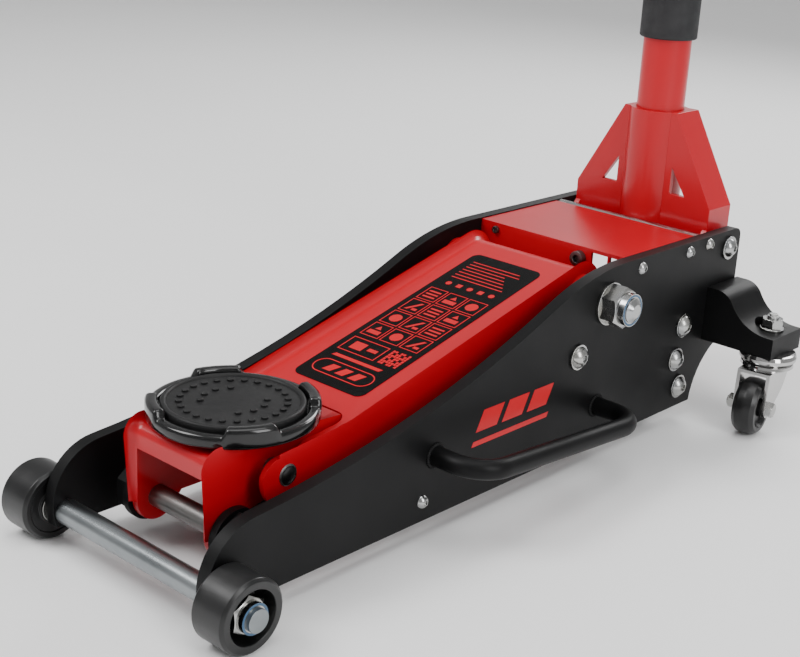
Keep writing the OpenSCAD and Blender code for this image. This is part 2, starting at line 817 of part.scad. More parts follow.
module tie_rods() {
    along = atan2(link_rear[1] - link_front[1], link_rear[0] - link_front[0]);
    span = norm(link_rear - link_front);
    color(black_paint) both_sides() difference() {
        union() {
            rod(link_front, 40, link_in, link_in + link_t);
            rod(link_rear, 28, link_in, link_in + link_t);
            translate([link_in, link_front[0], link_front[1]]) rotate([along, 0, 0])
                translate([0, 0, -10]) cube([link_t, span, 20]);
        }
        rod(link_front, link_rod_d - 2 + 2*0.35, link_in - 1, link_in + link_t + 1);
        rod(link_rear, bolt_d + 2*slide_gap, link_in - 1, link_in + link_t + 1);
    }
}

bracket_half = bracket_w/2;
bracket_t = 5;
bracket_top = 94;
bracket_front = -258.5;
bracket_rear = -141;
bracket_low = 35;
mouth_top = 77.5;                  // lower edge of the bracket's front wall

module bracket_side_outline() {
    ear_r = link_front[0] - bracket_front;
    polygon(concat(
        arc([bracket_front + 8, bracket_top - 8], 8, 90, 180, 6),
        arc(link_front, ear_r, 180, 330, 14),
        [[link_front[0] + 21, bracket_low], [bracket_rear - 24, bracket_low],
         [bracket_rear, bracket_low + 25], [bracket_rear, bracket_top]]));
}

// Outline of the bracket's front wall and top sheet, as one folded strip
module bracket_skin_outline() {
    polygon(concat(
        arc([bracket_front + 8, bracket_top - 8], 8, 90, 180, 6),
        [[bracket_front, mouth_top], [bracket_front + bracket_t, mouth_top]],
        arc([bracket_front + 8, bracket_top - 8], 3, 180, 90, 6),
        [[bracket_rear, bracket_top - bracket_t], [bracket_rear, bracket_top]]));
}

stem_d = 30;
saddle_y = saddle_pin_y + 2;

module saddle_bracket() {
    color(red_paint) difference() {
        union() {
            both_sides() across(bracket_half - bracket_t, bracket_t) bracket_side_outline();
            across(-bracket_half, bracket_w) bracket_skin_outline();
        }
        translate([0, saddle_y, bracket_top - 10]) cylinder(d = stem_d + 2*slide_gap, h = 20);
        rod(saddle_pin, saddle_pin_d + 2*slide_gap, -bracket_half - 1, bracket_half + 1);
        rod(link_front, link_rod_d, -bracket_half - 1, bracket_half + 1);
    }
}

link_nut_h = 12;
rod_end = link_in + link_t + link_nut_h + 1.5;

module link_rod() {
    color(dark_steel) {
        rod(link_front, link_rod_d, -bracket_half - 1, bracket_half + 1);
        both_sides() rod(link_front, link_rod_d - 2, bracket_half, rod_end);
    }
}

module link_rod_nuts() {
    x0 = link_in + link_t + free_gap;
    color(black_paint) both_sides() difference() {
        hex_x(link_front, 32, x0, x0 + link_nut_h);
        rod(link_front, link_rod_d - 2, x0 - 1, x0 + link_nut_h + 2);
    }
}

saddle_floor = 97.5;
rim_low = 107;
lug_top = 112.5;
lug_count = 4;
lug_span = 40;
lug_first = 61;

module saddle() {
    wall_in = pad_r + 1.5;
    gap_span = 360/lug_count - lug_span;
    color(black_paint) translate([0, saddle_y, 0]) difference() {
        rotate_extrude($fn = 96) polygon([
            [0, 83], [stem_d/2, 83], [stem_d/2, bracket_top + free_gap], [30, bracket_top + free_gap],
            [33, saddle_floor], [saddle_r - 2, saddle_floor], [saddle_r, saddle_floor + 2],
            [saddle_r, lug_top - 2], [saddle_r - 2, lug_top], [wall_in + 1.5, lug_top],
            [wall_in, lug_top - 1.5], [wall_in, pad_top - 8], [0, pad_top - 8]]);
        for (i = [0:lug_count - 1])
            rotate([0, 0, lug_first + lug_span/2 + i*360/lug_count])
                rotate_extrude(angle = gap_span, $fn = 96)
                    translate([wall_in - 1, rim_low]) square([saddle_r - wall_in + 3, 10]);
        translate([0, 0, 85]) rotate_extrude() translate([stem_d/2 - 1.5, 0]) square([3, 2.2]);
    }
}

module saddle_clip() {
    color(steel) translate([0, saddle_y, 85.1]) difference() {
        cylinder(d = stem_d + 5, h = 2);
        translate([0, 0, -1]) cylinder(d = stem_d - 2.8, h = 4);
        translate([-4, 0, -1]) cube([8, 30, 4]);
    }
}

module saddle_pad() {
    color(rubber_black) translate([0, saddle_y, pad_top - 8]) rotate_extrude($fn = 96) polygon([
        [0, 0], [pad_r, 0], [pad_r, 7], [pad_r - 1, 8], [0, 8]]);
}

// ---- handle ----

// Front plate of the socket, seen from the front as [x, z]
module socket_front_outline() {
    low = socket_z - 6;
    window_out = 0.62;
    difference() {
        polygon([[-sock_half, low], [sock_half, low], [sock_half, sock_kink_z],
            [sock_top_half, socket_top], [-sock_top_half, socket_top], [-sock_half, sock_kink_z]]);
        for (s = [-1, 1]) polygon([[s*28, sock_kink_z + 6], [s*28, sock_kink_z + 30],
            [s*(sock_half*window_out), sock_kink_z + 6]]);
    }
}

module socket_band(t) {
    run = [sock_half - sock_top_half, socket_top - sock_kink_z];
    n = [run[1], run[0]]/norm(run);
    low = socket_z;
    polygon([[sock_half, low], [sock_half, sock_kink_z], [sock_top_half, socket_top],
        [sock_top_half - 2*t, socket_top], [sock_top_half - t*n[0] - 1, socket_top - t],
        [sock_half - t, sock_kink_z - t*0.4], [sock_half - t, low]]);
}

module handle_socket() {
    depth = sock_rear - sock_front;
    front_y = socket_y + sock_front;
    color(red_paint) difference() {
        union() {
            translate([0, front_y + sock_t, 0]) rotate([90, 0, 0])
                linear_extrude(sock_t) socket_front_outline();
            both_sides() translate([0, front_y + depth, 0]) rotate([90, 0, 0])
                linear_extrude(depth) socket_band(sock_t);
            both_sides() rod(socket_pivot, 2*sock_rear, sock_half - sock_t, sock_half);
            translate([-sock_top_half, front_y, socket_top - sock_t])
                cube([2*sock_top_half, depth, sock_t]);
            for (x = [-pump_ear_gap/2 - sock_t, pump_ear_gap/2]) pump_ear(pump_x + x);
        }
        translate([0, socket_y, tube_low]) cylinder(d = sock_tube_d, h = 200);
        both_sides() rod(socket_pivot, bolt_d + 2*slide_gap, sock_half - sock_t - 1, sock_half + 1);
        rod(push_pin, push_pin_d, pump_x - 30, pump_x + 30);
    }
}

// Ear that carries the pushing pin below the socket
module pump_ear(x) {
    front = socket_y + sock_front;
    across(x, sock_t) polygon(concat(
        [[front, socket_z + 22], [front, socket_z - 2]],
        arc(push_pin, 11, 215, 380, 10),
        [[front + 24, socket_z + 22]]));
}

module socket_tube() {
    color(red_paint) difference() {
        translate([0, socket_y, tube_low]) cylinder(d = sock_tube_d, h = socket_top - tube_low);
        translate([0, socket_y, tube_low - 1]) cylinder(d = handle_d + 2*free_gap, h = socket_top);
        lock_axis() cylinder(d = 8, h = 60);
    }
}

lock_z = 225;

module lock_axis() {
    translate([0, socket_y, lock_z]) rotate([0, -90, 0]) children();
}

module handle_lock_screw() {
    tip = handle_d/2 - 1.6;
    seat = sock_tube_d/2 + 0.6;
    color(steel) lock_axis() {
        translate([0, 0, tip]) cylinder(d = 8, h = seat - tip + eps);
        translate([0, 0, seat]) intersection() {
            cylinder(d = 13/cos(30), h = 5.5, $fn = 6);
            cylinder(d1 = 19, d2 = 12.5, h = 5.5);
        }
    }
}

module pump_push_pin() {
    half = pump_ear_gap/2 + sock_t + 1;
    color(steel) rod(push_pin, push_pin_d, pump_x - half, pump_x + half);
}

module handle_tube() {
    wall = 2.5;
    color(red_paint) difference() {
        translate([0, socket_y, handle_foot]) cylinder(d = handle_d, h = handle_top - 6 - handle_foot);
        translate([0, socket_y, handle_foot - 1]) cylinder(d = handle_d - 2*wall, h = handle_top);
        translate([0, socket_y, lock_z - 5]) rotate_extrude()
            translate([handle_d/2 - 2, 0]) square([3, 10]);
    }
}

module handle_sleeve() {
    color(rubber_black) translate([0, socket_y, 0]) rotate_extrude() polygon([
        [handle_d/2, sleeve_z], [24, sleeve_z], [25, sleeve_z + 1], [25, sleeve_z + 239],
        [24, sleeve_z + 240], [handle_d/2, sleeve_z + 240]]);
}

module handle_grip() {
    grip_z = handle_top - 150;
    color(rubber_black) translate([0, socket_y, 0]) rotate_extrude() polygon([
        [handle_d/2, grip_z], [24, grip_z], [25, grip_z + 4], [24, grip_z + 12],
        [24, handle_top - 12], [25, handle_top - 5], [22, handle_top], [0, handle_top],
        [0, handle_top - 6], [handle_d/2, handle_top - 6]]);
}

module handle_yoke() {
    plug_z = handle_foot + 2;
    plug_h = 14;
    tine_in = 6;
    tine_t = 2.5;
    color(dark_steel) translate([0, socket_y, 0]) difference() {
        union() {
            translate([0, 0, plug_z]) cylinder(d = handle_d - 5, h = plug_h);
            both_sides() translate([tine_in, -3.5, socket_z - 1])
                cube([tine_t, 7, plug_z - socket_z + 1 + eps]);
        }
        translate([0, 0, plug_z + 3]) cylinder(d = 20, h = plug_h);
    }
}

side_plate_right();
side_plate_left();
carry_handle_right();
carry_handle_left();
front_axle();
front_axle_nuts();
front_wheel_right();
front_wheel_left();
spacer_rods();
frame_bolts_small();
frame_bolts_large();
plate_washers();
main_shaft();
main_shaft_nuts();
pivot_spacers();
rear_cover();
cover_screws();
outrigger_right();
outrigger_left();
outrigger_bolts();
caster_studs();
caster_stud_nuts();
caster_bearing_cups();
caster_fork_right();
caster_fork_left();
caster_wheel_right();
caster_wheel_left();
caster_axle_right();
caster_axle_left();
valve_block();
reservoir_tube();
cylinder_tube();
gland_nut();
pump_barrel();
pump_plunger();
pump_spring();
return_springs();
ram();
ram_pin();
lift_arm();
arm_pivot_tube();
arm_front_pin();
arm_label();
tie_rods();
saddle_bracket();
link_rod();
link_rod_nuts();
saddle();
saddle_pad();
saddle_clip();
handle_socket();
socket_tube();
pump_push_pin();
handle_lock_screw();
handle_tube();
handle_sleeve();
handle_grip();
handle_yoke();
release_shaft();
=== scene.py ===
"""Looks of the hydraulic floor jack over its CAD frame: finishes, sheet parts, coils, knobs and labels."""

import math

import bmesh
import bpy
from mathutils import Matrix, Vector


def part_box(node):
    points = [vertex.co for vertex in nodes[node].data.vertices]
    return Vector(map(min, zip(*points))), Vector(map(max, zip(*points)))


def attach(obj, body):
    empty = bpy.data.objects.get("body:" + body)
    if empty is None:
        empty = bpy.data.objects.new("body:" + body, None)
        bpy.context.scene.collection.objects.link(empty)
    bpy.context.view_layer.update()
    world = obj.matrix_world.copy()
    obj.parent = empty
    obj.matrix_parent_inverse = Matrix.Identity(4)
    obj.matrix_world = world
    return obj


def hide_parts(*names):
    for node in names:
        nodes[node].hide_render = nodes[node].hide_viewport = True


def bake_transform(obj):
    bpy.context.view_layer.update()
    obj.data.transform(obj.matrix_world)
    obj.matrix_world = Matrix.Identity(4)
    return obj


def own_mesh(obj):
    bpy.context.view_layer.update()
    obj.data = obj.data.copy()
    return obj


MM = 0.001

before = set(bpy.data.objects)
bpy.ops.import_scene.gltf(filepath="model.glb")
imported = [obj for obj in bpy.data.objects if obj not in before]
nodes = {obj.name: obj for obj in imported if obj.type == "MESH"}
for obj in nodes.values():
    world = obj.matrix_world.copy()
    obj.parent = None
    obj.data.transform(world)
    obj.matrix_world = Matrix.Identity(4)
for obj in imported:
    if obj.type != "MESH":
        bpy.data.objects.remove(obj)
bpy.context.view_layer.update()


# ---------------------------------------------------------------- finishes


class Finish:
    """Builds one procedural material from a few named layers."""

    def __init__(self, name):
        self.material = bpy.data.materials.new(name)
        self.material.use_nodes = True
        self.tree = self.material.node_tree
        self.shader = self.tree.nodes["Principled BSDF"]
        self.coords = self.tree.nodes.new("ShaderNodeTexCoord")

    def noise(self, scale, detail=3.0, stretch=(1, 1, 1)):
        mapping = self.tree.nodes.new("ShaderNodeMapping")
        mapping.inputs["Scale"].default_value = stretch
        texture = self.tree.nodes.new("ShaderNodeTexNoise")
        texture.inputs["Scale"].default_value = scale
        texture.inputs["Detail"].default_value = detail
        self.tree.links.new(self.coords.outputs["Object"], mapping.inputs["Vector"])
        self.tree.links.new(mapping.outputs["Vector"], texture.inputs["Vector"])
        return texture.outputs["Fac"]

    def spread(self, value, low, high, start=0.35, end=0.65):
        """Maps the middle of a noise to the range low to high."""
        node = self.tree.nodes.new("ShaderNodeMapRange")
        node.inputs["From Min"].default_value = start
        node.inputs["From Max"].default_value = end
        node.inputs["To Min"].default_value = low
        node.inputs["To Max"].default_value = high
        self.tree.links.new(value, node.inputs["Value"])
        return node.outputs["Result"]

    def colour(self, base, other=None, mask=None):
        if other is None:
            self.shader.inputs["Base Color"].default_value = (*base, 1)
            return self
        mix = self.tree.nodes.new("ShaderNodeMix")
        mix.data_type = "RGBA"
        mix.inputs["A"].default_value = (*base, 1)
        mix.inputs["B"].default_value = (*other, 1)
        self.tree.links.new(mask, mix.inputs["Factor"])
        self.tree.links.new(mix.outputs["Result"], self.shader.inputs["Base Color"])
        return self

    def rough(self, low, high, scale=60.0, stretch=(1, 1, 1)):
        value = self.spread(self.noise(scale, 4.0, stretch), low, high)
        self.tree.links.new(value, self.shader.inputs["Roughness"])
        return self

    def grain(self, scale, depth, strength=0.5, detail=2.0, stretch=(1, 1, 1)):
        """Fine relief. depth is in millimetres."""
        bump = self.tree.nodes.new("ShaderNodeBump")
        bump.inputs["Strength"].default_value = strength
        bump.inputs["Distance"].default_value = depth * MM
        self.tree.links.new(self.noise(scale, detail, stretch), bump.inputs["Height"])
        self.tree.links.new(bump.outputs["Normal"], self.shader.inputs["Normal"])
        return self

    def set(self, **values):
        for name, value in values.items():
            self.shader.inputs[name.replace("_", " ")].default_value = value
        return self


def make_finishes():
    red = Finish("red enamel")
    red.colour((0.52, 0.0008, 0.010), (0.48, 0.0007, 0.009), red.spread(red.noise(9), 0, 1))
    red.rough(0.30, 0.33, 12).grain(240, 0.03, 0.15)
    red.set(Coat_Weight=0.25, Coat_Roughness=0.16, Specular_IOR_Level=0.3)

    black = Finish("black powder coat")
    black.colour((0.0035, 0.0035, 0.0038), (0.0055, 0.0055, 0.0058), black.spread(black.noise(14), 0, 1))
    black.rough(0.40, 0.46, 25).grain(650, 0.08, 0.3)
    black.set(Specular_IOR_Level=0.16)

    cast = Finish("black enamel on casting")
    cast.colour((0.0025, 0.0025, 0.0027), (0.004, 0.004, 0.0042), cast.spread(cast.noise(30), 0, 1))
    cast.rough(0.14, 0.20, 40).grain(130, 0.25, 0.4, 3)
    cast.set(Coat_Weight=0.45, Coat_Roughness=0.07, Specular_IOR_Level=0.3)

    zinc = Finish("zinc plate")
    zinc.colour((0.42, 0.43, 0.44), (0.50, 0.48, 0.42), zinc.spread(zinc.noise(35), 0, 0.5))
    zinc.rough(0.16, 0.28, 90).grain(700, 0.05, 0.4)
    zinc.set(Metallic=1.0)

    turned = Finish("turned steel")
    turned.colour((0.34, 0.36, 0.37), (0.24, 0.26, 0.27), turned.spread(turned.noise(22, 5), 0, 1))
    turned.rough(0.26, 0.44, 60, (0.1, 1, 1)).grain(500, 0.06, 0.5, 3, (0.15, 1, 1))
    turned.set(Metallic=1.0)

    dark = Finish("dark steel")
    dark.colour((0.12, 0.12, 0.12), (0.26, 0.25, 0.24), dark.spread(dark.noise(40, 6, (0.12, 1, 1)), 0, 1))
    dark.rough(0.26, 0.46, 80, (0.12, 1, 1)).grain(600, 0.06, 0.5, 3, (0.12, 1, 1))
    dark.set(Metallic=1.0)

    chrome = Finish("nickel plate")
    chrome.colour((0.56, 0.55, 0.54), (0.48, 0.48, 0.48), chrome.spread(chrome.noise(20), 0, 1))
    chrome.rough(0.08, 0.18, 50).grain(300, 0.03, 0.2)
    chrome.set(Metallic=1.0)

    iron = Finish("machined casting")
    iron.colour((0.20, 0.20, 0.205), (0.30, 0.30, 0.30), iron.spread(iron.noise(50, 5), 0, 1))
    iron.rough(0.38, 0.58, 60).grain(220, 0.2, 0.5, 4)
    iron.set(Metallic=0.8)

    nylon = Finish("black nylon")
    nylon.colour((0.005, 0.005, 0.0053), (0.009, 0.009, 0.0093), nylon.spread(nylon.noise(25), 0, 1))
    nylon.rough(0.28, 0.40, 50).grain(380, 0.08, 0.4)

    rubber = Finish("matte rubber")
    rubber.colour((0.006, 0.006, 0.0063), (0.011, 0.011, 0.0112), rubber.spread(rubber.noise(30), 0, 1))
    rubber.rough(0.46, 0.58, 80).grain(520, 0.10, 0.5)
    rubber.set(Specular_IOR_Level=0.3)

    foam = Finish("foam sleeve")
    foam.colour((0.012, 0.0125, 0.014), (0.018, 0.0185, 0.020), foam.spread(foam.noise(60), 0, 1))
    foam.rough(0.62, 0.80, 90).grain(900, 0.25, 0.6, 3)

    vinyl = Finish("black vinyl")
    vinyl.colour((0.002, 0.002, 0.002))
    vinyl.rough(0.24, 0.28, 20)
    vinyl.set(Specular_IOR_Level=0.12)

    print_red = Finish("red print")
    print_red.colour((0.62, 0.004, 0.012))
    print_red.rough(0.28, 0.34, 30)
    print_red.set(Specular_IOR_Level=0.25)

    nylon_ring = Finish("blue nylon ring")
    nylon_ring.colour((0.05, 0.12, 0.22))
    nylon_ring.rough(0.35, 0.45, 40)

    return {
        "red": red.material, "black": black.material, "cast": cast.material, "zinc": zinc.material,
        "turned": turned.material, "dark": dark.material, "chrome": chrome.material,
        "iron": iron.material, "nylon": nylon.material, "rubber": rubber.material,
        "foam": foam.material, "vinyl": vinyl.material, "print_red": print_red.material,
        "nylon_ring": nylon_ring.material,
    }


finish = make_finishes()


# ---------------------------------------------------------------- shaping helpers


def shade(obj, bevel=0.5, segments=2, angle=28):
    """Rounded edges and smooth curves for a piece of flat and round faces. bevel is in millimetres."""
    mesh = obj.data
    if "custom_normal" in mesh.attributes:
        mesh.attributes.remove(mesh.attributes["custom_normal"])
    mesh.shade_smooth()
    weld = obj.modifiers.new("weld", "WELD")
    weld.merge_threshold = 0.002 * MM
    flats = obj.modifiers.new("flats", "DECIMATE")
    flats.decimate_type = "DISSOLVE"
    flats.angle_limit = math.radians(0.4)
    rounding = obj.modifiers.new("rounding", "BEVEL")
    rounding.width = bevel * MM
    rounding.segments = segments
    rounding.limit_method = "ANGLE"
    rounding.angle_limit = math.radians(angle)
    rounding.harden_normals = True
    rounding.use_clamp_overlap = True


def paint(obj, material):
    obj.data.materials.clear()
    obj.data.materials.append(material)


def new_piece(name, mesh, material, body):
    obj = bpy.data.objects.new(name, mesh)
    bpy.context.scene.collection.objects.link(obj)
    paint(obj, material)
    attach(obj, body)
    return obj


def mesh_of(bm, name):
    bmesh.ops.recalc_face_normals(bm, faces=bm.faces)
    mesh = bpy.data.meshes.new(name)
    bm.to_mesh(mesh)
    bm.free()
    return mesh


def arc(centre, radius, start, end, steps):
    """Points on an arc in a plane, angles in degrees."""
    points = []
    for i in range(steps + 1):
        a = math.radians(start + (end - start) * i / steps)
        points.append((centre[0] + radius * math.cos(a), centre[1] + radius * math.sin(a)))
    return points


def prism(outline, low, high):
    """Closed prism of a [y, z] outline between two x planes, as a bmesh. All in millimetres."""
    bm = bmesh.new()
    rings = []
    for x in (low, high):
        rings.append([bm.verts.new((x * MM, y * MM, z * MM)) for y, z in outline])
    bm.faces.new(rings[0])
    bm.faces.new(list(reversed(rings[1])))
    count = len(outline)
    for i in range(count):
        j = (i + 1) % count
        bm.faces.new((rings[0][i], rings[0][j], rings[1][j], rings[1][i]))
    bm.normal_update()
    return bm, rings


def round_run(bm, rings, run, radius, steps=6):
    """Rounds the prism's two end edges along the outline points numbered in run."""
    edges = []
    for ring in rings:
        for i, j in zip(run, run[1:]):
            edge = bm.edges.get((ring[i], ring[j]))
            if edge:
                edges.append(edge)
    bmesh.ops.bevel(
        bm, geom=edges, offset=radius * MM, offset_type="OFFSET", segments=steps, profile=0.5,
        affect="EDGES", clamp_overlap=False,
    )


def cut(obj, *cutters):
    """Takes the cutters' shapes out of obj and drops them."""
    for cutter in cutters:
        tool = obj.modifiers.new("cut", "BOOLEAN")
        tool.operation = "DIFFERENCE"
        tool.solver = "EXACT"
        tool.object = cutter
    bpy.context.view_layer.update()
    graph = bpy.context.evaluated_depsgraph_get()
    result = bpy.data.meshes.new_from_object(obj.evaluated_get(graph))
    obj.modifiers.clear()
    obj.data = result
    for cutter in cutters:
        bpy.data.objects.remove(cutter, do_unlink=True)


def loose(bm, name):
    """A bmesh as a plain object, for cutting with."""
    obj = bpy.data.objects.new(name, mesh_of(bm, name))
    bpy.context.scene.collection.objects.link(obj)
    return obj


def block(low, high, name="block"):
    """Box between two corners in millimetres, for cutting with."""
    outline = [(low[1], low[2]), (high[1], low[2]), (high[1], high[2]), (low[1], high[2])]
    return loose(prism(outline, low[0], high[0])[0], name)


def bore(centre, radius, low, high, name="bore", steps=64):
    """Cylinder along X at a [y, z] place, for cutting with."""
    return loose(prism(arc(centre, radius, 0, 360 - 360 / steps, steps - 1), low, high)[0], name)


def plate_xy(outline, low, high):
    """Closed prism of an [x, y] outline between two heights, as a bmesh."""
    bm = bmesh.new()
    rings = []
    for z in (low, high):
        rings.append([bm.verts.new((x * MM, y * MM, z * MM)) for x, y in outline])
    bm.faces.new(rings[0])
    bm.faces.new(list(reversed(rings[1])))
    for i in range(len(outline)):
        j = (i + 1) % len(outline)
        bm.faces.new((rings[0][i], rings[0][j], rings[1][j], rings[1][i]))
    bm.normal_update()
    return bm


def turn(profile, centre, axis="Z", steps=96, name="turned"):
    """Revolves a closed [radius, along] profile about an axis through a point. All in millimetres."""
    bm = bmesh.new()
    rings = []
    for i in range(steps):
        a = 2 * math.pi * i / steps
        ring = []
        for radius, along in profile:
            c, s = radius * math.cos(a), radius * math.sin(a)
            offset = {"X": (along, c, s), "Y": (s, along, c), "Z": (c, s, along)}[axis]
            ring.append(bm.verts.new([(centre[k] + offset[k]) * MM for k in range(3)]))
        rings.append(ring)
    for i in range(steps):
        a, b = rings[i], rings[(i + 1) % steps]
        for j in range(len(profile)):
            k = (j + 1) % len(profile)
            bm.faces.new((a[j], b[j], b[k], a[k]))
    return mesh_of(bm, name)


def coil(start, end, radius, wire, turns, name, flat_turns=1.0, steps=20, sides=8):
    """Helical spring between two points, its end coils wound close. All in millimetres."""
    start, end = Vector(start), Vector(end)
    along = (end - start).normalized()
    side = along.orthogonal().normalized()
    other = along.cross(side)
    length = (end - start).length - wire
    count = int(turns * steps)
    points = []
    for i in range(count + 1):
        turned = i / steps
        share = min(max((turned - flat_turns) / (turns - 2 * flat_turns), 0), 1)
        close = wire * (min(turned, flat_turns) + max(turned - (turns - flat_turns), 0))
        run = wire / 2 + close + share * (length - 2 * wire * flat_turns)
        a = 2 * math.pi * turned
        radial = side * math.cos(a) + other * math.sin(a)
        points.append((start + along * run + radial * radius, radial))
    bm = bmesh.new()
    rings = []
    for i, (point, radial) in enumerate(points):
        ahead = points[min(i + 1, count)][0] - points[max(i - 1, 0)][0]
        across = ahead.normalized().cross(radial)
        ring = []
        for k in range(sides):
            a = 2 * math.pi * k / sides
            ring.append(bm.verts.new((point + (radial * math.cos(a) + across * math.sin(a)) * wire / 2) * MM))
        rings.append(ring)
    for a, b in zip(rings, rings[1:]):
        for k in range(sides):
            bm.faces.new((a[k], a[(k + 1) % sides], b[(k + 1) % sides], b[k]))
    bm.faces.new(rings[0])
    bm.faces.new(list(reversed(rings[-1])))
    mesh = mesh_of(bm, name)
    mesh.shade_smooth()
    return mesh


def mm_box(node):
    low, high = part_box(node)
    return low / MM, high / MM


# ---------------------------------------------------------------- finishes of the CAD nodes

DRESS = {
    "black": ("side_plate_right side_plate_left carry_handle_right carry_handle_left outrigger_right "
              "outrigger_left tie_rods link_rod_nuts reservoir_tube"),
    "zinc": ("front_axle_nuts spacer_rods frame_bolts_small frame_bolts_large plate_washers main_shaft "
             "main_shaft_nuts pivot_spacers caster_studs caster_stud_nuts caster_axle_right caster_axle_left "
             "saddle_clip pump_push_pin handle_lock_screw pump_barrel"),
    "turned": "front_axle",
    "nylon": "front_wheel_right front_wheel_left caster_wheel_right caster_wheel_left",
    "red": "rear_cover arm_pivot_tube handle_socket socket_tube handle_tube",
    "dark": ("cover_screws outrigger_bolts gland_nut ram_pin arm_front_pin link_rod handle_yoke "
             "release_shaft"),
    "chrome": "caster_bearing_cups caster_fork_right caster_fork_left ram pump_plunger cylinder_tube",
    "iron": "valve_block",
    "foam": "handle_sleeve handle_grip",
    "vinyl": "arm_label",
}
BEVELS = {
    "side_plate_right": 0.9, "side_plate_left": 0.9, "outrigger_right": 2.0, "outrigger_left": 2.0,
    "handle_socket": 0.9, "rear_cover": 0.8, "front_wheel_right": 1.2, "front_wheel_left": 1.2,
    "arm_label": 0.1, "valve_block": 1.2, "carry_handle_right": 0.3, "carry_handle_left": 0.3,
}

for key, names in DRESS.items():
    for name in names.split():
        paint(nodes[name], finish[key])
        shade(nodes[name], BEVELS.get(name, 0.35), 3)


# ---------------------------------------------------------------- places shared by the made pieces

ARM_SLOPE = math.radians(14.3)
SHEET = 5.0
# How far a cutter reaches past each side of the piece it cuts.
OVER = 5.0

arm_low, arm_high = mm_box("lift_arm")
label_low = mm_box("arm_label")[0]
hub_low, hub_high = mm_box("arm_pivot_tube")
bracket_low, bracket_high = mm_box("saddle_bracket")


def side_centre(node):
    """Middle of a node as [y, z], for the pins and shafts that lie along X."""
    low, high = mm_box(node)
    return ((low.y + high.y) / 2, (low.z + high.z) / 2)


arm_half = arm_high.x
main_pivot = side_centre("arm_pivot_tube")
saddle_pin = side_centre("arm_front_pin")
link_pin = side_centre("link_rod")
ram_pin = side_centre("ram_pin")


def rest_on_slope(y):
    """Height of the arm's sloping face, from the underside of its label."""
    return label_low.z + (y - label_low.y) * math.tan(ARM_SLOPE)


# ---------------------------------------------------------------- lift arm

HUB_R = (rest_on_slope(main_pivot[0]) - main_pivot[1]) * math.cos(ARM_SLOPE)
NOSE_R = saddle_pin[0] - arm_low.y
RAIL_Z = saddle_pin[1] + 14.0
FOLD_R = 7.0
KINK_HALF = 11.0
KINK_RISE = 1.4
NOSE_SOFT = 9.0
NOTCH_Y = -137.0
NOTCH_R = 9.0
NOTCH_FLARE = 34.0
BRACKET_GAP = 43.0
HUB_BORE = (hub_high.z - hub_low.z) / 2
PIN_BORE = 7.0
# How far the arm's blank runs past its front end before it is trimmed.
BLANK_PAST = 20.0


def make_lift_arm():
    """Folded arm: a rounded blank, trimmed below, hollowed, and notched for the bracket."""
    slope_deg = math.degrees(ARM_SLOPE)
    rail_deg = math.degrees(math.asin((RAIL_Z - saddle_pin[1]) / NOSE_R))
    rail_end = label_low.y - (rest_on_slope(label_low.y) - RAIL_Z) / math.tan(ARM_SLOPE)
    hub = arc(main_pivot, HUB_R, -100, 90 + slope_deg, 30)
    kink = []
    for share in (1, 0.5, 0, -0.5, -1):
        t = share * KINK_HALF
        rise = KINK_RISE * max(0, 1 - abs(t) / KINK_HALF) ** 2
        kink.append((rail_end + t, RAIL_Z + max(t, 0) * math.tan(ARM_SLOPE) + rise))
    nose = arc(saddle_pin, NOSE_R, 180 - rail_deg, 280, 24)
    tail = (main_pivot[0] - 50, main_pivot[1] - 24)
    front, low = arm_low.y - BLANK_PAST, 10.0
    outline = hub + kink + [(front, RAIL_Z), (front, low), (tail[0] - 10, low), tail]
    bm, rings = prism(outline, -arm_half, arm_half)
    round_run(bm, rings, list(range(18, len(hub) + len(kink) + 1)), FOLD_R, 8)
    arm = loose(bm, "lift arm sheet")
    start, corner, end = (nose[0][0] + NOSE_SOFT, RAIL_Z), nose[0], nose[5]
    soft = [tuple((1 - t) ** 2 * a + 2 * t * (1 - t) * b + t * t * c for a, b, c in zip(start, corner, end))
            for t in (0, 0.2, 0.4, 0.6, 0.8)]
    below = [(front - BLANK_PAST, RAIL_Z + BLANK_PAST), (start[0], RAIL_Z + BLANK_PAST)] + soft + nose[5:]
    below += [tail, (tail[0] + 2, low - OVER), (front - BLANK_PAST, low - OVER)]
    cut(arm, loose(prism(below, -arm_half - OVER, arm_half + OVER)[0], "below the arm"))

    inner = [(front, RAIL_Z - SHEET), (rail_end, RAIL_Z - SHEET)]
    inner += arc(main_pivot, HUB_R - SHEET, 90 + slope_deg, 60, 8)
    inner += [(main_pivot[0] + 40, main_pivot[1] + 50), (main_pivot[0] + 40, 0), (front, 0)]
    hollow, hollow_rings = prism(inner, -arm_half + SHEET, arm_half - SHEET)
    round_run(hollow, hollow_rings, list(range(0, 11)), 2.5, 4)

    wide = arm_half - 4
    side = [(wide, front)]
    for i in range(9):
        share = (1 - math.cos(math.pi * i / 8)) / 2
        side.append((wide + (BRACKET_GAP - wide) * share, saddle_pin[0] + 2 + NOTCH_FLARE * i / 8))
    # A quarter turn, in radians.
    for a in (0, 0.39, 0.79, 1.18, 1.57):
        x = BRACKET_GAP - NOTCH_R + NOTCH_R * math.cos(a)
        side.append((x, NOTCH_Y - NOTCH_R + NOTCH_R * math.sin(a)))
    notch = plate_xy(side + [(-x, y) for x, y in reversed(side)], 20, 130)
    cut(arm, loose(hollow, "hollow"), loose(notch, "notch"))
    hub_hole = bore(main_pivot, HUB_BORE, -arm_half - OVER, arm_half + OVER)
    pin_hole = bore(saddle_pin, PIN_BORE, -arm_half - OVER, arm_half + OVER)
    cut(arm, hub_hole, pin_hole)
    mesh = arm.data
    bpy.data.objects.remove(arm, do_unlink=True)
    return mesh


LUG_R = 13.0
LUG_INNER = 20.0
LUG_THICK = 8.0


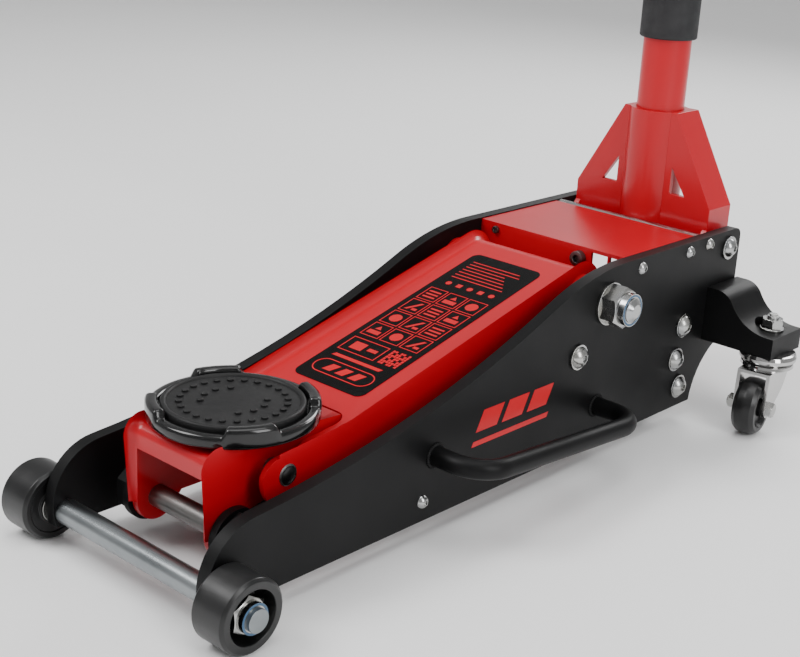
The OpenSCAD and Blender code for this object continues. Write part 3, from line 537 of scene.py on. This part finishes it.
def make_arm_lugs():
    """The two plates under the hub that hold the ram pin."""
    outline = arc(main_pivot, HUB_R - 1, 200, -10, 24) + arc(ram_pin, LUG_R, 0, -180, 18)
    whole = bmesh.new()
    for low in (LUG_INNER, -LUG_INNER - LUG_THICK):
        part = mesh_of(prism(outline, low, low + LUG_THICK)[0], "lug")
        whole.from_mesh(part)
        bpy.data.meshes.remove(part)
    lugs = loose(whole, "arm lugs")
    cut(lugs, bore(main_pivot, HUB_BORE, -40, 40), bore(ram_pin, PIN_BORE, -40, 40))
    mesh = lugs.data
    bpy.data.objects.remove(lugs, do_unlink=True)
    return mesh


arm_piece = new_piece("lift_arm_sheet", make_lift_arm(), finish["red"], "lift_arm")
shade(arm_piece, 0.6, 3, 35)
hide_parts("lift_arm")
lug_piece = new_piece("lift_arm_lugs", make_arm_lugs(), finish["red"], "lift_arm")
shade(lug_piece, 0.8, 3)


# ---------------------------------------------------------------- saddle bracket

EAR_R = link_pin[0] - bracket_low.y
BEND_R = 7.0
HEAD_R = 8.0
WALL_LOW = 35.0
MOUTH_TOP = 77.5
STEM_BORE = 15.05
BRACKET_PIN_BORE = 7.05
LINK_BORE = 8.0


def make_bracket():
    """Folded bracket: a rounded blank, trimmed to its ears, hollowed, open in front and bored."""
    half, front, rear, top = bracket_high.x, bracket_low.y, bracket_high.y, bracket_high.z
    fold = (front + HEAD_R, top - HEAD_R)
    head = arc(fold, HEAD_R, 90, 180, 8)
    ear = arc(link_pin, EAR_R, 180, 330, 24)
    foot = [(link_pin[0] + 21, WALL_LOW), (rear - 24, WALL_LOW), (rear, WALL_LOW + 25)]
    outline = head + [(front, -10), (rear, -10), (rear, top)]
    bm, rings = prism(outline, -half, half)
    last = len(outline) - 1
    round_run(bm, rings, [last] + list(range(0, len(head) + 1)), BEND_R, 8)
    shell = loose(bm, "bracket sheet")
    below = [(front - 10, link_pin[1])] + ear + foot
    below += [(rear + 10, WALL_LOW + 35), (rear + 10, -20), (front - 10, -20)]
    cut(shell, loose(prism(below, -half - OVER, half + OVER)[0], "below the ears"))
    inner = [(front + SHEET, -5)] + arc(fold, HEAD_R - SHEET, 180, 90, 4)
    inner += [(rear + 10, top - SHEET), (rear + 10, -5)]
    hollow, hollow_rings = prism(inner, -half + SHEET, half - SHEET)
    round_run(hollow, hollow_rings, [0, 1], 2.0, 4)
    mouth = block((-half + SHEET + 0.5, front - 10, -5), (half - SHEET - 0.5, front + 12, MOUTH_TOP), "mouth")
    cut(shell, loose(hollow, "hollow"), mouth)
    stem_hole = plate_xy(arc((0, saddle_pin[0] + 2), STEM_BORE, 0, 354, 59), top - 12, top + OVER)
    pin_hole = bore(saddle_pin, BRACKET_PIN_BORE, -half - OVER, half + OVER)
    link_hole = bore(link_pin, LINK_BORE, -half - OVER, half + OVER)
    cut(shell, loose(stem_hole, "hole"), pin_hole, link_hole)
    mesh = shell.data
    bpy.data.objects.remove(shell, do_unlink=True)
    return mesh


bracket_mesh = make_bracket()
bracket_piece = new_piece("saddle_bracket_sheet", bracket_mesh, finish["red"], "saddle_bracket")
shade(bracket_piece, 0.7, 3, 35)
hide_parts("saddle_bracket")


# ---------------------------------------------------------------- saddle and pad

ring_low, ring_high = mm_box("saddle")
pad_low, pad_high = mm_box("saddle_pad")
SADDLE_C = ((ring_low.x + ring_high.x) / 2, (ring_low.y + ring_high.y) / 2)
RIM_R = ring_high.x
PAD_R = pad_high.x
LUG_FIRST = 61.0
LUG_SPAN = 40.0
LUG_SLOPE = 4.5
RIM_Z = 107.0
CUP_UNDER_Z = 97.5
STEM_STEP_Z = 94.4
WALL_INNER_Z = 105.5


def lug_share(angle):
    """1 on a raised lug of the saddle, 0 between lugs, with sloping ends. angle is in degrees."""
    off = (angle - LUG_FIRST + 45) % 90 - 45
    t = min(max((LUG_SPAN / 2 - abs(off)) / LUG_SLOPE, 0), 1)
    return t * t * (3 - 2 * t)


def make_saddle():
    """Cast saddle: a turned cup with its stem, whose rim rises into four lugs."""
    inner = PAD_R + 1.5
    floor_z = pad_low.z
    steps = 360
    bm = bmesh.new()
    rings = []
    for i in range(steps):
        angle = 360 * i / steps
        top = RIM_Z + (ring_high.z - RIM_Z) * lug_share(angle)
        stem = [(15, ring_low.z), (15, STEM_STEP_Z), (30, STEM_STEP_Z), (33, CUP_UNDER_Z)]
        outside = [(RIM_R - 2.5, CUP_UNDER_Z), (RIM_R - 0.8, CUP_UNDER_Z + 0.8), (RIM_R, CUP_UNDER_Z + 2.6)]
        rim = [(RIM_R, top - 3.2), (RIM_R - 0.6, top - 1.4), (RIM_R - 1.9, top - 0.4), (RIM_R - 3.2, top),
               (inner + 2.2, top), (inner + 0.9, top - 0.5), (inner + 0.2, top - 1.6)]
        inside = [(inner, min(top - 2.6, WALL_INNER_Z)), (inner, floor_z + 0.2),
                  (PAD_R - 6, floor_z), (4, floor_z)]
        a = math.radians(angle)
        ring = []
        for r, z in stem + outside + rim + inside:
            x = SADDLE_C[0] + r * math.cos(a)
            y = SADDLE_C[1] + r * math.sin(a)
            ring.append(bm.verts.new((x * MM, y * MM, z * MM)))
        rings.append(ring)
    for i in range(steps):
        a, b = rings[i], rings[(i + 1) % steps]
        for j in range(len(a) - 1):
            bm.faces.new((a[j], b[j], b[j + 1], a[j + 1]))
    bm.faces.new([ring[0] for ring in reversed(rings)])
    bm.faces.new([ring[-1] for ring in rings])
    mesh = mesh_of(bm, "saddle casting")
    mesh.shade_smooth()
    return mesh


saddle_piece = new_piece("saddle_casting", make_saddle(), finish["cast"], "saddle")
edge_split = saddle_piece.modifiers.new("edges", "EDGE_SPLIT")
edge_split.split_angle = math.radians(50)
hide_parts("saddle")

KNOB_R = 2.4
KNOB_H = 1.5
OUTER_KNOBS = 24
OUTER_KNOB_RING = 36.8
INNER_KNOBS = 4
INNER_KNOB_RING = 22.5
INNER_STEP = 28.5
# Turned profiles stop this short of the axis, so that no ring of points falls together.
CORE = 0.02


def make_pad():
    """Rubber pad: a shallow dished disc with a rim. Its rings of knobs end level with the CAD pad's top."""
    top = pad_high.z
    dish = top - KNOB_H
    profile = [(PAD_R - 0.6, pad_low.z), (PAD_R, pad_low.z + 1), (PAD_R, top - 1.4), (PAD_R - 0.5, top - 0.4),
               (PAD_R - 1.4, top), (PAD_R - 3.0, top), (PAD_R - 3.8, top - 0.4), (PAD_R - 4.4, dish),
               (CORE, dish), (CORE, pad_low.z)]
    base = turn(profile, (SADDLE_C[0], SADDLE_C[1], 0), "Z", 128, "pad base")
    whole = bmesh.new()
    whole.from_mesh(base)
    bpy.data.meshes.remove(base)
    places = [(OUTER_KNOB_RING, 360 * (i + 0.5) / OUTER_KNOBS) for i in range(OUTER_KNOBS)]
    for middle in (187, 9):
        first = middle - (INNER_KNOBS - 1) / 2 * INNER_STEP
        places += [(INNER_KNOB_RING, first + i * INNER_STEP) for i in range(INNER_KNOBS)]
    knob_profile = [(KNOB_R, dish - 0.3), (KNOB_R, top - 0.35), (KNOB_R - 0.35, top),
                    (CORE, top), (CORE, dish - 0.3)]
    for radius, angle in places:
        a = math.radians(angle)
        centre = (SADDLE_C[0] + radius * math.cos(a), SADDLE_C[1] + radius * math.sin(a), 0)
        knob = turn(knob_profile, centre, "Z", 16, "knob")
        whole.from_mesh(knob)
        bpy.data.meshes.remove(knob)
    mesh = mesh_of(whole, "saddle pad")
    mesh.shade_smooth()
    return mesh


pad_piece = new_piece("saddle_pad_knobbed", make_pad(), finish["rubber"], "saddle")
pad_split = pad_piece.modifiers.new("edges", "EDGE_SPLIT")
pad_split.split_angle = math.radians(40)
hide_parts("saddle_pad")


# ---------------------------------------------------------------- springs

spring_low, spring_high = mm_box("return_springs")
SPRING_X = spring_high.x - 5.5
RETURN_COIL = {"radius": 4.5, "wire": 1.7, "turns": 20}
for side, name in ((1, "right"), (-1, "left")):
    level = (spring_low.z + spring_high.z) / 2
    rear_end, front_end = (side * SPRING_X, spring_high.y, level), (side * SPRING_X, spring_low.y, level)
    mesh = coil(rear_end, front_end, name="return spring", **RETURN_COIL)
    piece = new_piece("return_spring_" + name, mesh, finish["zinc"], "frame")
    if side == 1:
        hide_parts("return_springs")
    piece.parent = None
    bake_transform(piece)

pump_low, pump_high = mm_box("pump_spring")
pump_x, pump_z = (pump_low.x + pump_high.x) / 2, (pump_low.z + pump_high.z) / 2
PUMP_COIL = {"radius": 8.1, "wire": 1.6, "turns": 5.5}
pump_mesh = coil((pump_x, pump_low.y, pump_z), (pump_x, pump_high.y, pump_z), name="pump spring", **PUMP_COIL)
pump_spring = new_piece("pump_spring_coil", pump_mesh, finish["zinc"], "frame")
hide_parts("pump_spring")
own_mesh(pump_spring)


# ---------------------------------------------------------------- label and decal

LABEL_LIFT = 0.45
LABEL_MARK = 0.12
TILE_WIDE = 18.4
TILE_LONG = 19.4


def flat_mark(bm, points):
    """Thin raised mark on the label. points are [across, along] from the label's front edge."""
    low = [bm.verts.new((x * MM, y * MM, (LABEL_LIFT - LABEL_MARK) * MM)) for x, y in points]
    high = [bm.verts.new((x * MM, y * MM, LABEL_LIFT * MM)) for x, y in points]
    bm.faces.new(list(reversed(low)))
    bm.faces.new(high)
    for i in range(len(points)):
        j = (i + 1) % len(points)
        bm.faces.new((low[i], low[j], high[j], high[i]))


def box_mark(bm, x0, y0, x1, y1):
    flat_mark(bm, [(x0, y0), (x1, y0), (x1, y1), (x0, y1)])


def frame_mark(bm, x0, y0, x1, y1, line):
    box_mark(bm, x0, y0, x1, y0 + line)
    box_mark(bm, x0, y1 - line, x1, y1)
    box_mark(bm, x0, y0 + line, x0 + line, y1 - line)
    box_mark(bm, x1 - line, y0 + line, x1, y1 - line)


def capsule_mark(bm, x0, x1, y0, y1, line):
    """Rounded outline, wider than tall, drawn as a band."""
    r = (y1 - y0) / 2
    centre_y = (y0 + y1) / 2
    outer = arc((x1 - r, centre_y), r, -90, 90, 12) + arc((x0 + r, centre_y), r, 90, 270, 12)
    inner = arc((x1 - r, centre_y), r - line, -90, 90, 12) + arc((x0 + r, centre_y), r - line, 90, 270, 12)
    for i in range(len(outer)):
        j = (i + 1) % len(outer)
        flat_mark(bm, [outer[i], outer[j], inner[j], inner[i]])


def tile_mark(bm, x, y, kind):
    """One framed tile with plain shapes: a box and a wedge, a disc, a slanted bar and a box, or lines."""
    frame_mark(bm, x, y, x + TILE_WIDE, y + TILE_LONG, 0.8)
    if kind == 0:
        box_mark(bm, x + 3, y + 4, x + 15, y + 9)
        flat_mark(bm, [(x + 6, y + 11), (x + 12, y + 11), (x + 9, y + 16)])
    elif kind == 1:
        flat_mark(bm, arc((x + 9.2, y + 9.7), 5.5, 0, 330, 11))
    elif kind == 2:
        flat_mark(bm, [(x + 3.5, y + 3.5), (x + 6.5, y + 3.5), (x + 15, y + 15.5), (x + 12, y + 15.5)])
        box_mark(bm, x + 10, y + 4, x + 15, y + 7)
    else:
        for i in range(3):
            box_mark(bm, x + 3, y + 4 + i * 4.4, x + 15, y + 6 + i * 4.4)


def make_label_marks():
    """Plain panels: a band, a framed box, a dotted square, rows of tiles, and fine lines."""
    bm = bmesh.new()
    capsule_mark(bm, -29, 29, 10, 28, 1.0)
    for i in range(3):
        x = -18 + i * 13
        flat_mark(bm, [(x, 14.5), (x + 8, 14.5), (x + 12, 23.5), (x + 4, 23.5)])
    flat_mark(bm, [(-26, 33), (22, 33), (24, 36.5), (-24, 36.5)])
    frame_mark(bm, -29, 42, 8, 62, 0.9)
    box_mark(bm, -22, 47, -10, 57)
    box_mark(bm, -6, 50, 3, 54)
    for i in range(7):
        for j in range(7):
            if (i * 5 + j * 3 + i * j) % 3 != 1:
                x, y = 12 + i * 2.6, 42.5 + j * 2.8
                box_mark(bm, x, y, x + 2.2, y + 2.4)
    for row in range(4):
        for column in range(3):
            tile_mark(bm, -29.5 + column * 20.3, 67 + row * 21.5, (row + column) % 4)
    for i in range(5):
        x = -24 + i * 11
        if i % 2:
            box_mark(bm, x, 160, x + 5, 165)
        else:
            flat_mark(bm, arc((x + 2.5, 162.5), 2.8, 0, 315, 7))
    for i in range(7):
        width = 52 - (i * 17) % 14
        y = 172 + i * 4.6
        box_mark(bm, -27, y, -27 + width, y + 1.1)
    mesh = mesh_of(bm, "label marks")
    tilt = Matrix.Rotation(ARM_SLOPE, 4, "X")
    mesh.transform(Matrix.Translation((0, label_low.y * MM, label_low.z * MM)) @ tilt)
    return mesh


new_piece("arm_label_marks", make_label_marks(), finish["print_red"], "lift_arm")

DECAL_X = mm_box("side_plate_right")[1].x


def make_decal():
    """Three plain slanted bars over a thin line, on the right plate."""
    bm = bmesh.new()
    lift = 0.12

    def slanted(y0, y1, z0, z1, lean):
        points = [(y0, z0), (y1, z0), (y1 + lean, z1), (y0 + lean, z1)]
        low = [bm.verts.new(((DECAL_X - 0.05) * MM, y * MM, z * MM)) for y, z in points]
        high = [bm.verts.new(((DECAL_X + lift) * MM, y * MM, z * MM)) for y, z in points]
        bm.faces.new(low)
        bm.faces.new(list(reversed(high)))
        for i in range(4):
            j = (i + 1) % 4
            bm.faces.new((low[i], low[j], high[j], high[i]))

    for i in range(3):
        slanted(-46 + i * 30, -22 + i * 30, 68, 84, 8)
    slanted(-50, 40, 57, 61, 2)
    return mesh_of(bm, "decal")


new_piece("side_decal", make_decal(), finish["print_red"], "frame")


# ---------------------------------------------------------------- small details

INSERT_WIDE = 1.6
INSERT_HALF = 0.7
NUT_INSERTS = (
    ("main", main_pivot, mm_box("main_shaft_nuts")[1].x, 11.0),
    ("axle", side_centre("front_axle"), mm_box("front_axle_nuts")[1].x, 8.9),
)

for side, word in ((1, "right"), (-1, "left")):
    for label, place, face, radius in NUT_INSERTS:
        x = side * (face - 0.4)
        outer = radius + INSERT_WIDE
        profile = [(radius, -INSERT_HALF), (outer, -INSERT_HALF), (outer, INSERT_HALF), (radius, INSERT_HALF)]
        mesh = turn(profile, (x, place[0], place[1]), "X", 48, "nylon ring")
        ring = new_piece(label + "_nut_insert_" + word, mesh, finish["nylon_ring"], "frame")
        shade(ring, 0.25, 2)


def weld_bead(centre, radius, width, name, bumps=34):
    """Rippled ring where a tube meets a plate that faces X."""
    bm = bmesh.new()
    steps, sides = bumps * 4, 8
    rings = []
    for i in range(steps):
        a = 2 * math.pi * i / steps
        ripple = 1 + 0.16 * math.sin(a * bumps) + 0.06 * math.sin(a * 5 + 1)
        ring = []
        for k in range(sides):
            b = 2 * math.pi * k / sides
            r = radius + width * 0.5 * ripple * math.cos(b)
            x = centre[0] + math.copysign(1, centre[0]) * width * 0.5 * ripple * math.sin(b)
            y = centre[1] + r * math.cos(a)
            z = centre[2] + r * math.sin(a)
            ring.append(bm.verts.new((x * MM, y * MM, z * MM)))
        rings.append(ring)
    for i in range(steps):
        a, b = rings[i], rings[(i + 1) % steps]
        for k in range(sides):
            bm.faces.new((a[k], b[k], b[(k + 1) % sides], a[(k + 1) % sides]))
    mesh = mesh_of(bm, name)
    mesh.shade_smooth()
    return mesh


CARRY_ENDS = ((-90.0, 63.0), (107.0, 48.5))
CARRY_TUBE_R = 8.0
BEAD = 3.4
for side, word in ((1, "right"), (-1, "left")):
    for i, (y, z) in enumerate(CARRY_ENDS):
        mesh = weld_bead((side * DECAL_X, y, z), CARRY_TUBE_R, BEAD, "weld bead")
        new_piece("carry_weld_%s_%d" % (word, i + 1), mesh, finish["black"], "frame")


# ---------------------------------------------------------------- stage, light and camera

STAGE_SIZE = 14.0
STAGE_FLAT = 6.0
STAGE_SWEEP = 0.14

floor_mesh = bpy.data.meshes.new("floor")
floor_bm = bmesh.new()
bmesh.ops.create_grid(floor_bm, x_segments=80, y_segments=80, size=STAGE_SIZE)
for vertex in floor_bm.verts:
    out = max(0.0, vertex.co.xy.length - STAGE_FLAT)
    vertex.co.z = STAGE_SWEEP * out * out
floor_bm.to_mesh(floor_mesh)
floor_bm.free()
floor_mesh.shade_smooth()
floor = bpy.data.objects.new("floor", floor_mesh)
bpy.context.scene.collection.objects.link(floor)
pale = Finish("pale floor")
pale.colour((0.95, 0.95, 0.95))
pale.rough(0.75, 0.85, 4)
paint(floor, pale.material)

world = bpy.data.worlds.new("studio")
bpy.context.scene.world = world
world.use_nodes = True
sky = world.node_tree
sky_coords = sky.nodes.new("ShaderNodeTexCoord")
sky_split = sky.nodes.new("ShaderNodeSeparateXYZ")
sky_ramp = sky.nodes.new("ShaderNodeValToRGB")
sky_ramp.color_ramp.elements[0].position = 0.02
sky_ramp.color_ramp.elements[0].color = (0.06, 0.06, 0.063, 1)
sky_ramp.color_ramp.elements[1].position = 0.75
sky_ramp.color_ramp.elements[1].color = (1.0, 1.0, 1.0, 1)
sky.links.new(sky_coords.outputs["Generated"], sky_split.inputs["Vector"])
sky.links.new(sky_split.outputs["Z"], sky_ramp.inputs["Fac"])
sky.links.new(sky_ramp.outputs["Color"], sky.nodes["Background"].inputs["Color"])
sky.nodes["Background"].inputs["Strength"].default_value = 0.6


def softbox(name, place, aim, width, height, power):
    data = bpy.data.lights.new(name, "AREA")
    data.shape = "RECTANGLE"
    data.size = width
    data.size_y = height
    data.energy = power
    light = bpy.data.objects.new(name, data)
    light.location = place
    light.rotation_euler = (Vector(aim) - Vector(place)).to_track_quat("-Z", "Y").to_euler()
    bpy.context.scene.collection.objects.link(light)


softbox("key", (-1.0, -1.3, 2.0), (0, 0, 0.1), 1.1, 1.1, 38)
softbox("side", (2.0, -0.3, 1.3), (0, 0, 0.1), 0.7, 1.6, 26)
softbox("rear", (-0.4, 2.0, 1.4), (0, 0, 0.15), 1.6, 0.6, 26)
softbox("top", (0.3, -0.1, 2.6), (0, 0, 0), 1.5, 1.5, 18)


def look(azimuth, elevation, roll):
    """Rotation of a camera that looks along -back. Angles in degrees."""
    a, e, r = (math.radians(v) for v in (azimuth, elevation, roll))
    back = Vector((math.sin(a) * math.cos(e), -math.cos(a) * math.cos(e), math.sin(e)))
    level = Vector((math.cos(a), math.sin(a), 0))
    upright = back.cross(level)
    right = math.cos(r) * level + math.sin(r) * upright
    up = -math.sin(r) * level + math.cos(r) * upright
    return Matrix((right, up, back)).transposed()


camera_data = bpy.data.cameras.new("camera")
camera_data.sensor_width = 36
camera_data.lens = 64.72
camera_data.shift_x = -0.0292
camera_data.shift_y = 0.0037
camera_data.clip_end = 30
camera = bpy.data.objects.new("camera", camera_data)
camera.matrix_world = Matrix.Translation((0.6813, -0.8030, 0.4824)) @ look(40.756, 19.392, 3.496).to_4x4()
bpy.context.scene.collection.objects.link(camera)
bpy.context.scene.camera = camera
